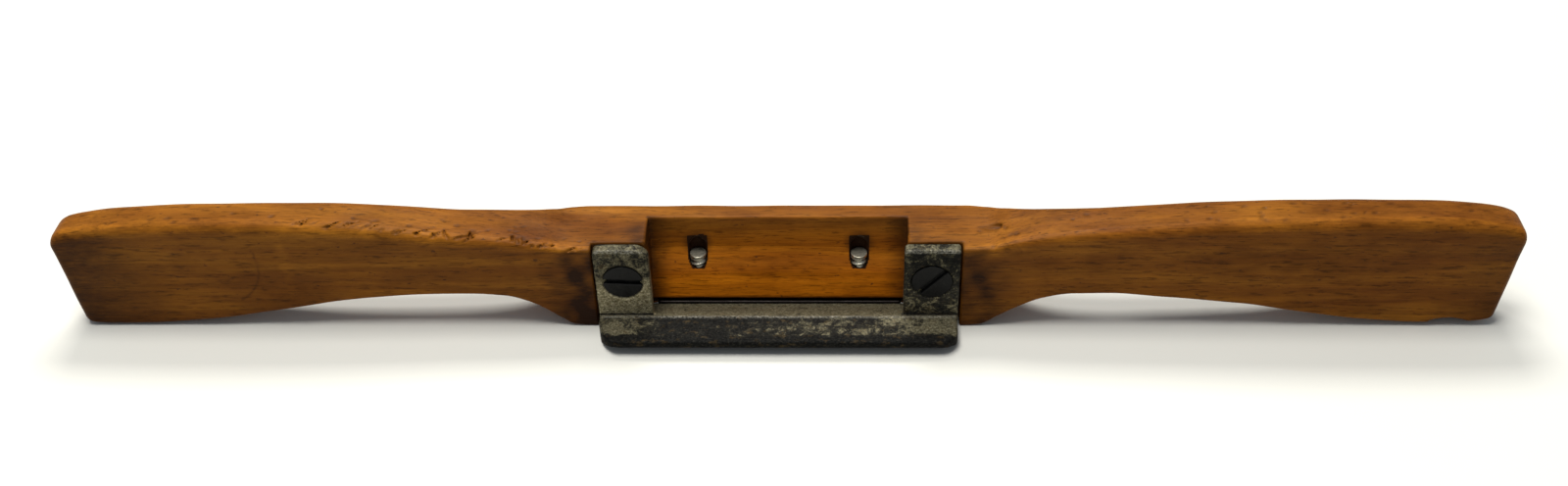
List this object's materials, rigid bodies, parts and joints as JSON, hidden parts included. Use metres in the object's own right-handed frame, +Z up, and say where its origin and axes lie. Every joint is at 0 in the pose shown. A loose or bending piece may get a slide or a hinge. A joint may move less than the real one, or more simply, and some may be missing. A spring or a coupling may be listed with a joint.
{
  "type": "wooden spokeshave",
  "caption": "Wooden spokeshave: curved two-handled stock with a bevelled low-angle cutter screwed on by its lugs, an open throat and a screw-adjusted throat plate.",
  "frame": {"origin": "on the sole, in the middle of the bounding box", "axes": "+X along the stock towards the right handle as the user sees it, +Y away from the user, +Z up from the sole"},
  "size_m": [0.346, 0.028, 0.032],
  "materials": {
    "wood": "worn varnish over fine straight grain",
    "forged_steel": "mottled grey-olive patina, brighter on the bevel",
    "dark_steel": "blackened, satin",
    "brass": "dull aged brass"
  },
  "bodies": {
    "stock": {"stock": "wood", "cutter": "forged_steel", "left_lug_screw": "dark_steel", "right_lug_screw": "dark_steel"},
    "throat_plate": {"throat_plate": "brass"},
    "left_adjusting_screw": {"left_adjusting_screw": "brass"},
    "right_adjusting_screw": {"right_adjusting_screw": "brass"}
  },
  "joints": [
    {"name": "plate_slide", "type": "slide", "parent": "stock", "child": "throat_plate", "axis": [0, 0, 1], "range_m": [0, 0.0004]},
    {"name": "left_screw_turn", "type": "hinge", "parent": "throat_plate", "child": "left_adjusting_screw", "pos_m": [-0.0196, 0.0085, 0], "axis": [0, 0, 1], "range_deg": [0, 96]},
    {"name": "right_screw_turn", "type": "hinge", "parent": "throat_plate", "child": "right_adjusting_screw", "pos_m": [0.0196, 0.0085, 0], "axis": [0, 0, 1], "range_deg": [0, 96]}
  ],
  "couplings": [
    {"joint": "left_screw_turn", "follows": "plate_slide", "rad_per_m": 4188.8},
    {"joint": "right_screw_turn", "follows": "plate_slide", "rad_per_m": 4188.8}
  ]
}
